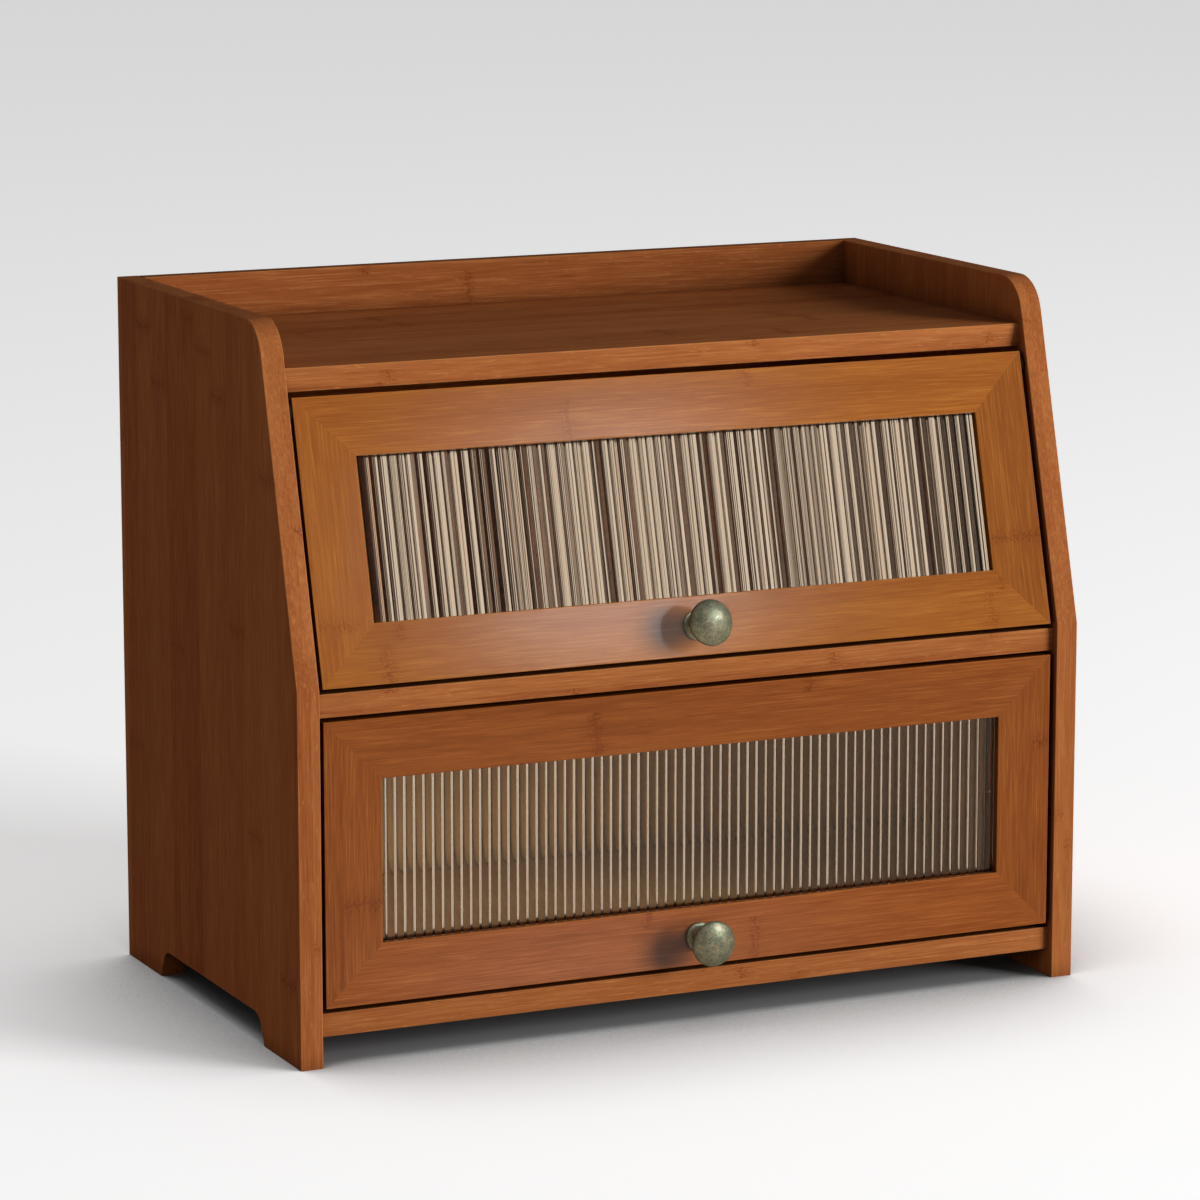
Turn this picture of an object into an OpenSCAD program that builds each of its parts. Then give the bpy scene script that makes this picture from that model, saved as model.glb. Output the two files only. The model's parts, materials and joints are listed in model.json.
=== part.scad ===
// Bread box with a drawer: a two-tier wooden case for a kitchen counter.
// The upper front leans back and is a lift-up flap on two steel pins. The lower front is a drawer.
// Both fronts are mitred frames round a pane of ribbed glass, each with a round metal knob.
// X runs across the box, the front faces -Y and Z is up. The origin is on the floor, under the
// middle of the whole box with its knobs. All sizes are in millimetres.

/* [Case] */
// Width over both side panels
case_w = 400; // [320:1:500]
// Depth of the side panels at the floor
case_d = 230; // [185:1:290]
// Height of the side panels
case_h = 335; // [300:1:410]
// Thickness of the side panels, the shelves and the bottom board
board_t = 11; // [9:0.5:14]
// Thickness of the back panel
back_t = 8; // [5:0.5:12]
// Height at which the front edge starts to lean back
break_h = 173.5; // [140:0.5:215]
// Lean of the upper front edge from upright, in degrees
lean = 15; // [8:0.5:20]
// Radius of the side panels' upper front corner
corner_r = 20; // [4:0.5:26]
// Height of the rim that the sides and the back make round the top
rim_h = 21.5; // [12:0.5:40]
// Distance from the side panels' front edges back to the shelves' front edges
set_back = 3.8; // [2:0.1:6]
// Depth of the middle shelf's top face below the break
shelf_drop = 2; // [1:0.1:5]
// Height of the bottom board's underside above the floor
floor_gap = 13.5; // [8:0.5:30]

/* [Feet] */
// Length of each foot where it meets the floor
foot_l = 46; // [25:1:60]
// Slant of the feet's inner edges from upright, in degrees
foot_slant = 22; // [0:1:35]
// Height of the cut-out between the feet
arch_h = 14; // [6:0.5:30]
// Radius of the cut-out's upper corners
arch_r = 9.5; // [2:0.5:14]

/* [Framed fronts] */
// Thickness of both fronts
front_t = 11; // [10:0.5:15]
// Width of the frame members
member_w = 28; // [22:0.5:36]
// Gap between a front and the side panels
side_gap = 2.3; // [1.5:0.1:4]
// Gap below each front
low_gap = 2.35; // [1:0.05:4]
// Gap above each front
top_gap = 1.6; // [1:0.1:4]
// Depth of the fronts' outer faces behind the side panels' front edges
face_drop = 1.9; // [0:0.1:4]
// Thickness of the frame's lip in front of the glass
lip_t = 4; // [2.5:0.1:5]
// Width of the rabbet that holds the glass
rabbet_w = 6; // [4:0.5:8]

/* [Ribbed glass] */
// Thickness of the pane over its ribs
glass_t = 4; // [3:0.1:5]
// Width of one rib
rib_w = 4.7; // [3.5:0.1:8]
// Height of a rib
rib_h = 1.5; // [0.4:0.1:2]

/* [Knobs] */
// Diameter of the knob's head
knob_d = 21.5; // [16:0.5:30]
// Length of the knob from the front's face to its crown
knob_l = 21; // [17:0.5:30]
// Height of the domed crown above the head's widest circle
crown_h = 4.2; // [2:0.1:6]
// Diameter of the foot of the knob
knob_foot_d = 13.4; // [11:0.1:20]
// Diameter of the knob's neck
knob_neck_d = 7.6; // [6.5:0.1:10]
// Thickness of the foot of the knob
knob_foot_t = 1.4; // [1:0.1:3]
// Diameter of the knob's screw
knob_screw_d = 4; // [3:0.5:5]
// Depth of the screw in the knob
knob_screw_in = 10; // [7:0.5:12]

/* [Flap pivots] */
// Diameter of the pivot pins
pin_d = 5; // [3:0.5:6]
// Depth of each pin in the flap
pin_in = 14; // [9:0.5:20]
// Distance from the flap's upper edge down to the pin's axis
pivot_drop = 6; // [5:0.1:8]
// Outer diameter of the bushes in the side panels
bush_d = 9; // [7.5:0.5:12]
// Length of the bushes
bush_l = 7; // [5:0.5:8]
// Outer diameter of the washers between flap and side panels
washer_d = 11; // [9:0.5:13]

/* [Flap catch] */
// Distance from the flap's end to the middle of a catch
catch_in = 24; // [18:0.5:40]
// Height of the catches above the flap's lower edge
catch_up = 12; // [10:0.5:16]
// Diameter of the magnets
magnet_d = 8; // [6:0.5:10]
// Thickness of the magnets
magnet_t = 3; // [2:0.5:4]
// Diameter of the steel discs that meet the magnets
strike_d = 12; // [9:0.5:15]
// Thickness of the steel discs
strike_t = 1.2; // [0.8:0.1:2]
// Width of the stop blocks
stop_w = 16; // [12:0.5:24]
// Height of the stop blocks
stop_h = 19; // [17:0.5:24]
// Depth of the stop blocks where they stand on the shelf
stop_d = 14; // [12:0.5:20]
// Distance from a stop block's back to its screw
stop_screw_in = 4.5; // [4:0.5:6]

/* [Drawer box] */
// Thickness of the drawer's sides and back
box_t = 8; // [6:0.5:10]
// Height of the drawer's sides
box_h = 105; // [70:1:108]
// Thickness of the drawer's bottom
box_floor_t = 4; // [3:0.1:5]
// Height of the drawer's bottom above the lower edges of its sides
box_floor_up = 6; // [4:0.5:8]
// Depth of the grooves that hold the drawer's bottom
groove = 4; // [2:0.5:5]
// Distance from the drawer front's ends in to the drawer's sides
box_inset = 0.7; // [0:0.1:3]

/* [Fasteners] */
// Diameter of the wooden dowels
dowel_d = 6; // [4:0.5:7]
// Length of the wooden dowels in the case
dowel_l = 24; // [16:1:30]
// Diameter of the wooden dowels between the drawer's front and sides
box_dowel_d = 4; // [3:0.5:5]
// Length of the wooden dowels between the drawer's front and sides
box_dowel_l = 20; // [14:1:26]
// Number of dowels at each end of a board of the case
case_dowel_count = 3; // [2:1:4]
// Number of dowels that hold the drawer's front to each of its sides
box_dowel_count = 3; // [2:1:3]
// Wood left behind the blind holes of the dowels
skin = 4; // [2:0.5:5]
// Diameter of the wood screws
screw_d = 3; // [2.5:0.5:4]
// Length of the wood screws
screw_l = 24; // [18:1:30]
// Number of screws through the back panel into each board
back_screw_count = 4; // [2:1:6]
// Number of screws through each side of the drawer into its back
box_screw_count = 2; // [2:1:3]
// Length of the small wood screws in the catches
small_screw_l = 8; // [6:0.5:9]
// Diameter of the brads in the glazing beads
brad_d = 1.2; // [0.8:0.1:1.6]
// Length of the brads
brad_l = 12; // [9:0.5:16]
// Number of brads in each upper and lower glazing bead
brad_count = 4; // [2:1:6]
// Distance from a board's ends and edges to its outermost fasteners
edge_in = 28; // [18:1:40]

/* [Hidden] */
fit = 0.02;          // play round a piece that is pressed, glued or screwed in
run = 0.03;          // radial play of the pins in their bushes
seat = 0.3;          // gap between a moving piece and what it rests on
play = 0.25;         // play round the glass and the drawer's bottom
swing = 0.6;         // least gap between the turning flap and the top board
over = 1;            // overshoot of a cut past the face it opens
fine = 64;           // segments of turned pieces
plain = 32;          // segments of fasteners
rib_steps = 8;       // straight steps in one rib of the glass
curve_steps = 10;    // straight steps in one curve of the knob
ease = 0.6;          // rounding of the knob's edges
neck_share = 0.42;   // height of the knob's narrowest place, as a share of its head's height
head_share = 0.6;    // height of a screw's head, as a share of its shank's diameter
recess = [0.66, 0.16, 0.3];  // length, width and depth of a cross recess, per head width

y_front = (knob_l - face_drop - case_d) / 2;
y_back = y_front + case_d;
back_in = y_back - back_t;
inner_x = case_w / 2 - board_t;

bottom_top = floor_gap + board_t;
shelf_top = break_h - shelf_drop;
shelf_under = shelf_top - board_t;
top_top = case_h - rim_h;
top_under = top_top - board_t;

// Y of the plane that lies a given depth behind the leaning front edge, at height z
function leaning_y(depth, z) = y_front + depth / cos(lean) + (z - break_h) * tan(lean);

shelf_front = y_front + set_back;
top_front = leaning_y(0, top_top) + set_back;

// Each board of the case as [front edge, underside]
boards = [[shelf_front, floor_gap], [shelf_front, shelf_under], [top_front, top_under]];

front_w = 2 * (inner_x - side_gap);
front_x = front_w / 2;
drawer_z = bottom_top + low_gap;
drawer_front_h = shelf_under - top_gap - drawer_z;
flap_low = (shelf_top + low_gap - break_h + face_drop * sin(lean)) / cos(lean);
flap_high = (top_under - top_gap - break_h + face_drop * sin(lean)) / cos(lean);
flap_h = flap_high - flap_low;
pivot_up = flap_h - pivot_drop;
pivot_in = front_t / 2;
// Height of the top board's underside above the pins, which the turning flap has to clear
head_room = top_gap + pivot_drop * cos(lean) + pivot_in * sin(lean);

pane_w = front_w - 2 * member_w + 2 * (rabbet_w - play);
bead_t = front_t - lip_t - glass_t - fit;
pin_out = side_gap + bush_l - seat;
knob_up = member_w / 2;
knob_screw_head_d = 2 * knob_screw_d;
knob_screw_head_h = head_share * knob_screw_d;
catch_x = front_x - catch_in;
catch_y = front_t + strike_t + seat;
stop_front = face_drop + catch_y;

box_x = front_x - box_inset;
box_z = bottom_top + seat;
box_y = y_front + face_drop + front_t;
box_back = back_in - seat;
floor_z = box_z + box_floor_up;
screw_head_d = 2 * screw_d;
screw_head_h = head_share * screw_d;

dark_wood = [0.36, 0.17, 0.08];
warm_wood = [0.60, 0.32, 0.14];
plain_wood = [0.70, 0.52, 0.32];
pewter = [0.45, 0.47, 0.41];
steel = [0.62, 0.63, 0.64];
nylon = [0.16, 0.12, 0.09];
pane = [0.80, 0.84, 0.82, 0.4];

// ---- Helpers ----

// Lays an outline in the YZ plane and gives it a thickness t towards +X
module plate_yz(t) rotate([90, 0, 90]) linear_extrude(t) children();

// Lays an outline in the XZ plane and gives it a thickness t towards +Y
module plate_xz(t) translate([0, t, 0]) rotate([90, 0, 0]) linear_extrude(t) children();

// Round bars that start at the origin and run towards +X or +Y
module bar_x(d, l) rotate([0, 90, 0]) cylinder(d = d, h = l, $fn = plain);
module bar_y(d, l) rotate([-90, 0, 0]) cylinder(d = d, h = l, $fn = plain);

// Draws its children on the right, or mirrored on the left
module on_side(side) mirror([side < 0 ? 1 : 0, 0, 0]) children();

function unit(v) = v / norm(v);
function prev(list, i) = list[(i + len(list) - 1) % len(list)];
function next(list, i) = list[(i + 1) % len(list)];
function half_corner(p, i) =
    acos(unit(prev(p, i) - p[i]) * unit(next(p, i) - p[i])) / 2;
function tangent(p, i, to, r) = p[i] + unit(to - p[i]) * r / tan(half_corner(p, i));
function corner_centre(p, i, r) =
    p[i] + unit(unit(prev(p, i) - p[i]) + unit(next(p, i) - p[i])) * r / sin(half_corner(p, i));

// Polygon whose corner i is rounded to radius r[i], with true arcs
module rounded_outline(p, r) {
    difference() {
        polygon(p);
        for (i = [0:len(p) - 1])
            if (r[i] > 0) corner_waste(p, i, r[i]);
    }
}

// What lies between a corner and the arc that rounds it
module corner_waste(p, i, r) {
    c = corner_centre(p, i, r);
    difference() {
        polygon([tangent(p, i, prev(p, i), r), 2 * p[i] - c, tangent(p, i, next(p, i), r), c]);
        translate(c) circle(r = r, $fn = fine);
    }
}

// Cross recess of a screw whose head, of diameter d, ends at z = 0
module cross_recess(d) {
    arm = recess[0] * d;
    blade = recess[1] * d;
    depth = recess[2] * d;
    for (turn = [0, 90])
        rotate([0, 0, turn])
            translate([-arm / 2, -blade / 2, -depth]) cube([arm, blade, depth + over]);
}

// Countersunk screw that hangs down from z = 0, and the hole that takes it
module wood_screw(l) {
    difference() {
        union() {
            translate([0, 0, -screw_head_h])
                cylinder(d1 = screw_d, d2 = screw_head_d, h = screw_head_h, $fn = plain);
            translate([0, 0, -l]) cylinder(d = screw_d, h = l - screw_head_h, $fn = plain);
        }
        cross_recess(screw_head_d);
    }
}
module wood_screw_hole(l) {
    grow = 2 * fit;
    translate([0, 0, -screw_head_h]) {
        cylinder(d1 = screw_d + grow, d2 = screw_head_d + grow, h = screw_head_h, $fn = plain);
        translate([0, 0, screw_head_h]) cylinder(d = screw_head_d + grow, h = over, $fn = plain);
    }
    translate([0, 0, -l - fit]) cylinder(d = screw_d + grow, h = l, $fn = plain);
}

// Evenly spaced places from low to high
function spread(low, high, count) =
    [for (i = [0:count - 1]) low + (high - low) * i / (count - 1)];

// ---- Case ----

module side_outline() {
    rise = tan(foot_slant);
    front_foot = y_front + foot_l;
    rear_foot = y_back - foot_l;
    difference() {
        rounded_outline(
            [[y_front, 0], [y_front, break_h], [leaning_y(0, case_h), case_h],
                [y_back, case_h], [y_back, 0]],
            [0, 0, corner_r, 0, 0]);
        rounded_outline(
            [[front_foot - rise * over, -over], [front_foot + rise * arch_h, arch_h],
                [rear_foot - rise * arch_h, arch_h], [rear_foot + rise * over, -over]],
            [0, arch_r, arch_r, 0]);
    }
}

// Places of the dowels at the right-hand ends of the boards
module at_case_dowels() {
    for (b = boards)
        for (y = spread(b[0] + edge_in, back_in - edge_in, case_dowel_count))
            translate([inner_x + board_t - skin - dowel_l, y, b[1] + board_t / 2]) children();
}
module case_dowel_holes() {
    for (side = [-1, 1])
        on_side(side) at_case_dowels()
            translate([-fit, 0, 0]) bar_x(dowel_d + 2 * fit, dowel_l + 2 * fit);
}

// Places of the screws that hold the back panel to the boards, pointing forwards
module at_back_screws() {
    for (b = boards)
        for (x = spread(edge_in - inner_x, inner_x - edge_in, back_screw_count))
            translate([x, y_back, b[1] + board_t / 2]) rotate([-90, 0, 0]) children();
}

module side_panel(side) {
    color(dark_wood) on_side(side) difference() {
        translate([inner_x, 0, 0]) plate_yz(board_t) side_outline();
        case_dowel_holes();
        in_flap() at_pivot() bar_x(bush_d + 2 * fit, side_gap + bush_l + fit);
    }
}

// A flat board of the case between the side panels
module case_board(front, under) {
    difference() {
        translate([-inner_x, front, under]) cube([2 * inner_x, back_in - front, board_t]);
        case_dowel_holes();
        at_back_screws() wood_screw_hole(screw_l);
    }
}

module top_board() color(dark_wood) case_board(top_front, top_under);
module bottom_board() color(dark_wood) case_board(shelf_front, floor_gap);
module middle_shelf() {
    color(dark_wood) difference() {
        case_board(shelf_front, shelf_under);
        at_stop_screws() wood_screw_hole(screw_l);
    }
}

module back_panel() {
    color(dark_wood) difference() {
        translate([-inner_x, back_in, floor_gap])
            cube([2 * inner_x, back_t, case_h - floor_gap]);
        at_back_screws() wood_screw_hole(screw_l);
    }
}

module case_dowels() {
    color(plain_wood)
        for (side = [-1, 1]) on_side(side) at_case_dowels() bar_x(dowel_d, dowel_l);
}

module back_panel_screws() color(steel) at_back_screws() wood_screw(screw_l);

// ---- Placing of the two fronts ----
// Inside these, X runs across, Y is the depth behind the outer face and Z runs up the face.

module in_flap() {
    translate([0, y_front, break_h]) rotate([-lean, 0, 0])
        translate([0, face_drop, flap_low]) children();
}
module in_drawer() translate([0, y_front + face_drop, drawer_z]) children();

// The flap's axis where it leaves the right-hand end of the flap
module at_pivot() translate([front_x, pivot_in, pivot_up]) children();

// ---- Framed front of height h ----

module rabbet_cut(h) {
    reach = front_x - member_w + rabbet_w;
    translate([-reach, lip_t, member_w - rabbet_w])
        cube([2 * reach, front_t, h - 2 * member_w + 2 * rabbet_w]);
}

module front_rail(h, is_top) {
    difference() {
        plate_xz(front_t)
            translate([0, is_top ? h : 0]) mirror([0, is_top ? 1 : 0])
                polygon([[-front_x, 0], [front_x, 0], [front_x - member_w, member_w],
                    [member_w - front_x, member_w]]);
        rabbet_cut(h);
        bead_brad_holes(h);
        if (!is_top) knob_screw_hole();
    }
}

module front_stile(h, side) {
    difference() {
        on_side(side) plate_xz(front_t)
            polygon([[front_x, 0], [front_x, h], [front_x - member_w, h - member_w],
                [front_x - member_w, member_w]]);
        rabbet_cut(h);
        bead_brad_holes(h);
    }
}

// Pane that stands in the rabbet, smooth in front and with round ribs on its inner face
module ribbed_pane(h) {
    count = round(pane_w / rib_w);
    pitch = pane_w / count;
    round_r = (pitch * pitch / 4 + rib_h * rib_h) / (2 * rib_h);
    function valley(t) = round_r - sqrt(round_r * round_r - pow((t - 0.5) * pitch, 2));
    ribs = [for (i = [0:count * rib_steps])
        [pane_w / 2 - i * pitch / rib_steps, glass_t - valley((i % rib_steps) / rib_steps)]];
    low = member_w - rabbet_w + play;
    color(pane) translate([0, lip_t, low]) linear_extrude(h - 2 * low)
        polygon(concat([[-pane_w / 2, 0], [pane_w / 2, 0]], ribs));
}

// Strips behind the pane: the upper and lower ones run through, the side ones stand between
module glazing_bead_across(h, is_top) {
    reach = front_x - member_w + rabbet_w - fit;
    rim = member_w - rabbet_w + fit;
    color(warm_wood) difference() {
        translate([-reach, front_t - bead_t, is_top ? h - member_w : rim])
            cube([2 * reach, bead_t, rabbet_w - fit]);
        bead_brad_holes(h);
    }
}
module glazing_bead_upright(h, side) {
    color(warm_wood) difference() {
        on_side(side) translate([front_x - member_w, front_t - bead_t, member_w + fit])
            cube([rabbet_w - fit, bead_t, h - 2 * member_w - 2 * fit]);
        bead_brad_holes(h);
    }
}

// Brads go through the beads and on into the frame members, from the window side outwards
module at_bead_brads(h) {
    y = front_t - bead_t / 2;
    far = front_x - member_w - edge_in;
    for (x = spread(-far, far, brad_count)) {
        translate([x, y, member_w]) rotate([180, 0, 0]) children();
        translate([x, y, h - member_w]) children();
    }
    for (side = [-1, 1])
        translate([side * (front_x - member_w), y, h / 2]) rotate([0, side * 90, 0]) children();
}
module bead_brads(h) {
    color(steel) at_bead_brads(h) cylinder(d = brad_d, h = brad_l, $fn = plain);
}
module bead_brad_holes(h) {
    at_bead_brads(h) translate([0, 0, -over])
        cylinder(d = brad_d + 2 * fit, h = brad_l + over + fit, $fn = plain);
}

// ---- Knob, turned round Z with its foot at z = 0 ----

function sweep_to(from, to, bend) = [for (i = [1:curve_steps])
    let (a = 90 * i / curve_steps)
        bend == "in" ? [from[0] + (to[0] - from[0]) * sin(a), to[1] + (from[1] - to[1]) * cos(a)]
            : [to[0] + (from[0] - to[0]) * cos(a), from[1] + (to[1] - from[1]) * sin(a)]];

module knob_shape() {
    foot_r = knob_foot_d / 2;
    neck_r = knob_neck_d / 2;
    head_r = knob_d / 2;
    head_z = knob_l - crown_h;
    foot = [foot_r, knob_foot_t];
    neck = [neck_r, neck_share * head_z];
    under = [head_r - ease, head_z - 3 * ease];
    widest = [head_r, head_z - ease];
    crown_r = (head_r * head_r + crown_h * crown_h) / (2 * crown_h);
    crown_a = asin(head_r / crown_r);
    crown = [for (i = [0:curve_steps])
        let (a = crown_a * (1 - i / curve_steps))
            [crown_r * sin(a), knob_l - crown_r * (1 - cos(a))]];
    difference() {
        rotate_extrude($fn = fine)
            polygon(concat([[0, 0], [foot_r - ease, 0], [foot_r, ease], foot],
                sweep_to(foot, neck, "in"), sweep_to(neck, under, "out"), [widest], crown));
        translate([0, 0, -over])
            cylinder(d = knob_screw_d + 2 * fit, h = knob_screw_in + over + fit, $fn = plain);
    }
}
module knob() color(pewter) translate([0, 0, knob_up]) rotate([90, 0, 0]) knob_shape();

module knob_screw() {
    color(steel) translate([0, front_t + knob_screw_head_h, knob_up]) rotate([-90, 0, 0])
        difference() {
            union() {
                translate([0, 0, -knob_screw_head_h])
                    cylinder(d = knob_screw_head_d, h = knob_screw_head_h, $fn = plain);
                translate([0, 0, -knob_screw_head_h - front_t - knob_screw_in])
                    cylinder(d = knob_screw_d, h = front_t + knob_screw_in + fit, $fn = plain);
            }
            cross_recess(knob_screw_head_d);
        }
}
module knob_screw_hole() {
    translate([0, -over, knob_up]) bar_y(knob_screw_d + 2 * fit, front_t + 2 * over);
}

// ---- Flap ----

// What the flap's lower edge loses, so that it lies level above the shelf
module flap_low_bevel() {
    far = front_t + over;
    translate([-front_x - over, 0, 0]) plate_yz(front_w + 2 * over)
        polygon([[-over, -over * tan(lean)], [far, far * tan(lean)],
            [far, -far], [-over, -far]]);
}

// What the flap's upper edge loses, so that its corners turn clear of the top board
module flap_swing_cut() {
    difference() {
        translate([-front_x - over, -over, pivot_up])
            cube([front_w + 2 * over, front_t + 2 * over, pivot_drop + over]);
        translate([-front_x - 2 * over, pivot_in, pivot_up])
            rotate([0, 90, 0])
                cylinder(r = head_room - swing, h = front_w + 4 * over, $fn = fine);
    }
}

module pin_holes() {
    for (side = [-1, 1])
        on_side(side) at_pivot() translate([-pin_in - fit, 0, 0])
            bar_x(pin_d + 2 * fit, pin_in + over);
}

module flap_member() {
    color(warm_wood) in_flap() difference() {
        children();
        flap_low_bevel();
        flap_swing_cut();
        pin_holes();
        at_strikes() wood_screw_hole(small_screw_l);
    }
}
module flap_top_rail() flap_member() front_rail(flap_h, true);
module flap_bottom_rail() flap_member() front_rail(flap_h, false);
module flap_stile(side) flap_member() front_stile(flap_h, side);

module flap_pin(side) {
    color(steel) in_flap() on_side(side) at_pivot()
        translate([-pin_in, 0, 0]) bar_x(pin_d, pin_in + pin_out);
}

module flap_washer(side) {
    color(nylon) in_flap() on_side(side) at_pivot() translate([seat, 0, 0])
        difference() {
            bar_x(washer_d, side_gap - 2 * seat);
            translate([-over, 0, 0]) bar_x(pin_d + 2 * fit, side_gap + 2 * over);
        }
}

module pivot_bush(side) {
    color(nylon) in_flap() on_side(side) at_pivot() translate([side_gap, 0, 0])
        difference() {
            bar_x(bush_d, bush_l);
            translate([-over, 0, 0]) bar_x(pin_d + 2 * run, bush_l + over - seat / 2);
        }
}

// ---- Catch ----

// Middle of a catch on the flap's back, with Z pointing out of the back
module at_strikes() {
    for (side = [-1, 1])
        translate([side * catch_x, front_t + strike_t, catch_up]) rotate([-90, 0, 0]) children();
}

module strike_plate(side) {
    color(steel) in_flap() difference() {
        on_side(side) translate([catch_x, front_t, catch_up]) bar_y(strike_d, strike_t);
        at_strikes() wood_screw_hole(small_screw_l);
    }
}
module strike_plate_screws() color(steel) in_flap() at_strikes() wood_screw(small_screw_l);

module magnet_bar(side, grow) {
    in_flap() on_side(side) translate([catch_x, catch_y - grow, catch_up])
        bar_y(magnet_d + 2 * grow, magnet_t + 2 * grow);
}
module catch_magnet(side) color(steel) magnet_bar(side, 0);

module flap_stop(side) {
    foot_front = leaning_y(stop_front, shelf_top);
    head_front = leaning_y(stop_front, shelf_top + stop_h);
    foot_back = foot_front + stop_d;
    color(plain_wood) difference() {
        on_side(side) translate([catch_x - stop_w / 2, 0, 0]) plate_yz(stop_w)
            polygon([[foot_front, shelf_top], [head_front, shelf_top + stop_h],
                [foot_back, shelf_top + stop_h], [foot_back, shelf_top]]);
        magnet_bar(side, fit);
        at_stop_screws() wood_screw_hole(screw_l);
    }
}

// Screws that hold the stop blocks, from under the shelf
module at_stop_screws() {
    for (side = [-1, 1])
        on_side(side) translate([catch_x,
            leaning_y(stop_front, shelf_top) + stop_d - stop_screw_in, shelf_under])
            rotate([180, 0, 0]) children();
}
module flap_stop_screws() color(steel) at_stop_screws() wood_screw(screw_l);

// ---- Drawer ----

module at_drawer_dowels() {
    rise = edge_in / 2;
    for (z = spread(box_z + rise, box_z + box_h - rise, box_dowel_count))
        translate([box_x - box_t / 2, box_y + skin - front_t, z]) children();
}
module drawer_dowel_holes() {
    for (side = [-1, 1])
        on_side(side) at_drawer_dowels() translate([0, -fit, 0])
            bar_y(box_dowel_d + 2 * fit, box_dowel_l + 2 * fit);
}

module at_drawer_back_screws() {
    rise = edge_in / 2;
    for (side = [-1, 1])
        on_side(side)
            for (z = spread(box_z + rise + screw_head_d, box_z + box_h - rise, box_screw_count))
                translate([box_x, box_back - box_t / 2, z]) rotate([0, 90, 0]) children();
}

module drawer_floor(grow) {
    reach = box_x - box_t + groove - play + grow;
    near = box_y - groove + play - grow;
    far = box_back - box_t + groove - play + grow;
    translate([-reach, near, floor_z - grow])
        cube([2 * reach, far - near, box_floor_t + 2 * grow]);
}

module drawer_member() {
    color(warm_wood) difference() {
        in_drawer() children();
        drawer_floor(play);
        drawer_dowel_holes();
    }
}
module drawer_top_rail() drawer_member() front_rail(drawer_front_h, true);
module drawer_bottom_rail() drawer_member() front_rail(drawer_front_h, false);
module drawer_stile(side) drawer_member() front_stile(drawer_front_h, side);

module drawer_side(side) {
    color(plain_wood) difference() {
        on_side(side) translate([box_x - box_t, box_y, box_z])
            cube([box_t, box_back - box_y, box_h]);
        drawer_floor(play);
        drawer_dowel_holes();
        at_drawer_back_screws() wood_screw_hole(screw_l);
    }
}
module drawer_back() {
    color(plain_wood) difference() {
        translate([box_t - box_x, box_back - box_t, box_z])
            cube([2 * (box_x - box_t), box_t, box_h]);
        drawer_floor(play);
        at_drawer_back_screws() wood_screw_hole(screw_l);
    }
}
module drawer_bottom() color(plain_wood) drawer_floor(0);
module drawer_dowels() {
    color(plain_wood)
        for (side = [-1, 1])
            on_side(side) at_drawer_dowels() bar_y(box_dowel_d, box_dowel_l);
}
module drawer_back_screws() color(steel) at_drawer_back_screws() wood_screw(screw_l);

// ---- Nodes ----

side_panel(-1);  // side_panel_left
side_panel(1);  // side_panel_right
top_board();
middle_shelf();
bottom_board();
back_panel();
case_dowels();
back_panel_screws();
pivot_bush(-1);  // pivot_bush_left
pivot_bush(1);  // pivot_bush_right
flap_stop(-1);  // flap_stop_left
flap_stop(1);  // flap_stop_right
flap_stop_screws();
catch_magnet(-1);  // catch_magnet_left
catch_magnet(1);  // catch_magnet_right
flap_top_rail();
flap_bottom_rail();
flap_stile(-1);  // flap_left_stile
flap_stile(1);  // flap_right_stile
in_flap() ribbed_pane(flap_h);  // flap_glass
in_flap() glazing_bead_across(flap_h, true);  // flap_bead_top
in_flap() glazing_bead_across(flap_h, false);  // flap_bead_bottom
in_flap() glazing_bead_upright(flap_h, -1);  // flap_bead_left
in_flap() glazing_bead_upright(flap_h, 1);  // flap_bead_right
in_flap() bead_brads(flap_h);  // flap_bead_brads
in_flap() knob();  // flap_knob
in_flap() knob_screw();  // flap_knob_screw
flap_pin(-1);  // flap_pin_left
flap_pin(1);  // flap_pin_right
flap_washer(-1);  // flap_washer_left
flap_washer(1);  // flap_washer_right
strike_plate(-1);  // strike_plate_left
strike_plate(1);  // strike_plate_right
strike_plate_screws();
drawer_top_rail();
drawer_bottom_rail();
drawer_stile(-1);  // drawer_left_stile
drawer_stile(1);  // drawer_right_stile
in_drawer() ribbed_pane(drawer_front_h);  // drawer_glass
in_drawer() glazing_bead_across(drawer_front_h, true);  // drawer_bead_top
in_drawer() glazing_bead_across(drawer_front_h, false);  // drawer_bead_bottom
in_drawer() glazing_bead_upright(drawer_front_h, -1);  // drawer_bead_left
in_drawer() glazing_bead_upright(drawer_front_h, 1);  // drawer_bead_right
in_drawer() bead_brads(drawer_front_h);  // drawer_bead_brads
in_drawer() knob();  // drawer_knob
in_drawer() knob_screw();  // drawer_knob_screw
drawer_side(-1);  // drawer_side_left
drawer_side(1);  // drawer_side_right
drawer_back();
drawer_bottom();
drawer_dowels();
drawer_back_screws();
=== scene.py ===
# %% [markdown]
# # A bread box with a drawer
#
# A two-tier case of stained bamboo. The upper front leans back and lifts on two pins, and the
# lower front is a drawer. Both are mitred frames round a pane of ribbed glass, with a turned
# pewter knob. The construction comes in as a fixed frame, and this lesson gives it its looks: eased
# wood with a real grain, glass ribs that bend what lies behind them, and worn metal.
# Everything is in metres, the front faces -Y and the floor is at Z = 0.

# %% Load the frame
import json
import math
import random

import bmesh
import bpy
from mathutils import Matrix, Vector

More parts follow.
